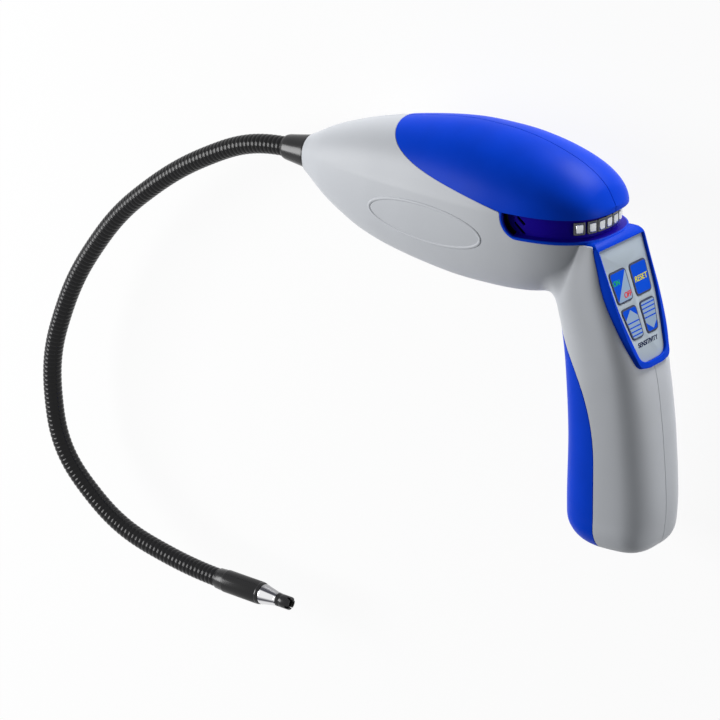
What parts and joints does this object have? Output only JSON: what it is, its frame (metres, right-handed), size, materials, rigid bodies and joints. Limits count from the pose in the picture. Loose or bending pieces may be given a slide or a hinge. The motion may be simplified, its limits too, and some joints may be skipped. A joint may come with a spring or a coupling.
{
  "type": "refrigerant leak detector",
  "caption": "Handheld pistol-grip refrigerant leak detector: teardrop housing with dome, lamp band, keypad, slide-off battery door and a bendable gooseneck sensor probe.",
  "frame": {"origin": "middle of the outer box on the floor; the detector lies on its right side and its centre plane is z = 32.5 mm", "axes": "+X to the detector's rear, +Y its own up (grip bottom to dome), +Z its left side, which is up as it lies"},
  "size_m": [0.3836, 0.2845, 0.065],
  "materials": {
    "grey_plastic": "satin",
    "blue_plastic": "satin gloss",
    "overlay_film": "satin film",
    "board": "solder mask",
    "contact_metal": "plated",
    "lamp_lens": "frosted",
    "black_plastic": "satin",
    "cell_wrap": "wrapped",
    "black_rubber": "ribbed, satin",
    "chrome": "polished",
    "ceramic": "unglazed"
  },
  "bodies": {
    "housing": {"left_shell": "grey_plastic", "right_shell": "grey_plastic", "left_dome": "blue_plastic", "right_dome": "blue_plastic", "console": "blue_plastic", "keypad_overlay": "overlay_film", "keypad_board": "board", "dome_switches": "contact_metal", "leds": "lamp_lens", "led_strip": "board", "main_board": "board", "sounder": "black_plastic", "battery_tray": "black_plastic", "cell_upper_left": "cell_wrap", "cell_upper_right": "cell_wrap", "cell_lower_left": "cell_wrap", "cell_lower_right": "cell_wrap", "battery_contacts": "contact_metal", "housing_screws": "contact_metal", "probe_boot": "black_rubber", "probe_nut": "contact_metal", "gooseneck_1": "black_rubber"},
    "door": {"battery_door": "blue_plastic"},
    "power": {"power_key": "blue_plastic"},
    "reset": {"reset_key": "blue_plastic"},
    "up": {"up_key": "blue_plastic"},
    "down": {"down_key": "blue_plastic"},
    "neck_2": {"gooseneck_2": "black_rubber"},
    "neck_3": {"gooseneck_3": "black_rubber"},
    "neck_4": {"gooseneck_4": "black_rubber"},
    "neck_5": {"gooseneck_5": "black_rubber"},
    "neck_6": {"gooseneck_6": "black_rubber"},
    "neck_7": {"gooseneck_7": "black_rubber"},
    "neck_8": {"gooseneck_8": "black_rubber", "tip_ferrule": "black_plastic", "sensor_holder": "chrome", "sensor_cap": "black_plastic", "sensor_element": "ceramic"}
  },
  "joints": [
    {"name": "door_slide", "type": "slide", "parent": "housing", "child": "door", "axis": [0, -1, 0], "range_m": [0, 0.125]},
    {"name": "power_press", "type": "slide", "parent": "housing", "child": "power", "axis": [-0.9379, -0.3469, 0], "range_m": [0, 0.0005], "stiffness_N_per_m": 2000},
    {"name": "reset_press", "type": "slide", "parent": "housing", "child": "reset", "axis": [-0.9379, -0.3469, 0], "range_m": [0, 0.0005], "stiffness_N_per_m": 2000},
    {"name": "up_press", "type": "slide", "parent": "housing", "child": "up", "axis": [-0.9379, -0.3469, 0], "range_m": [0, 0.0005], "stiffness_N_per_m": 2000},
    {"name": "down_press", "type": "slide", "parent": "housing", "child": "down", "axis": [-0.9379, -0.3469, 0], "range_m": [0, 0.0005], "stiffness_N_per_m": 2000},
    {"name": "neck_bend_1", "type": "hinge", "parent": "housing", "child": "neck_2", "pos_m": [-0.07681, 0.09664, 0.0325], "axis": [0, 0, 1], "range_deg": [-30, 12]},
    {"name": "neck_bend_2", "type": "hinge", "parent": "neck_2", "child": "neck_3", "pos_m": [-0.11966, 0.06961, 0.0325], "axis": [0, 0, 1], "range_deg": [-30, 12]},
    {"name": "neck_bend_3", "type": "hinge", "parent": "neck_3", "child": "neck_4", "pos_m": [-0.15489, 0.03332, 0.0325], "axis": [0, 0, 1], "range_deg": [-30, 12]},
    {"name": "neck_bend_4", "type": "hinge", "parent": "neck_4", "child": "neck_5", "pos_m": [-0.17922, -0.01102, 0.0325], "axis": [0, 0, 1], "range_deg": [-30, 12]},
    {"name": "neck_bend_5", "type": "hinge", "parent": "neck_5", "child": "neck_6", "pos_m": [-0.18602, -0.06069, 0.0325], "axis": [0, 0, 1], "range_deg": [-30, 12]},
    {"name": "neck_bend_6", "type": "hinge", "parent": "neck_6", "child": "neck_7", "pos_m": [-0.16381, -0.10446, 0.0325], "axis": [0, 0, 1], "range_deg": [-30, 12]},
    {"name": "neck_bend_7", "type": "hinge", "parent": "neck_7", "child": "neck_8", "pos_m": [-0.11948, -0.12768, 0.0325], "axis": [0, 0, 1], "range_deg": [-30, 12]}
  ]
}
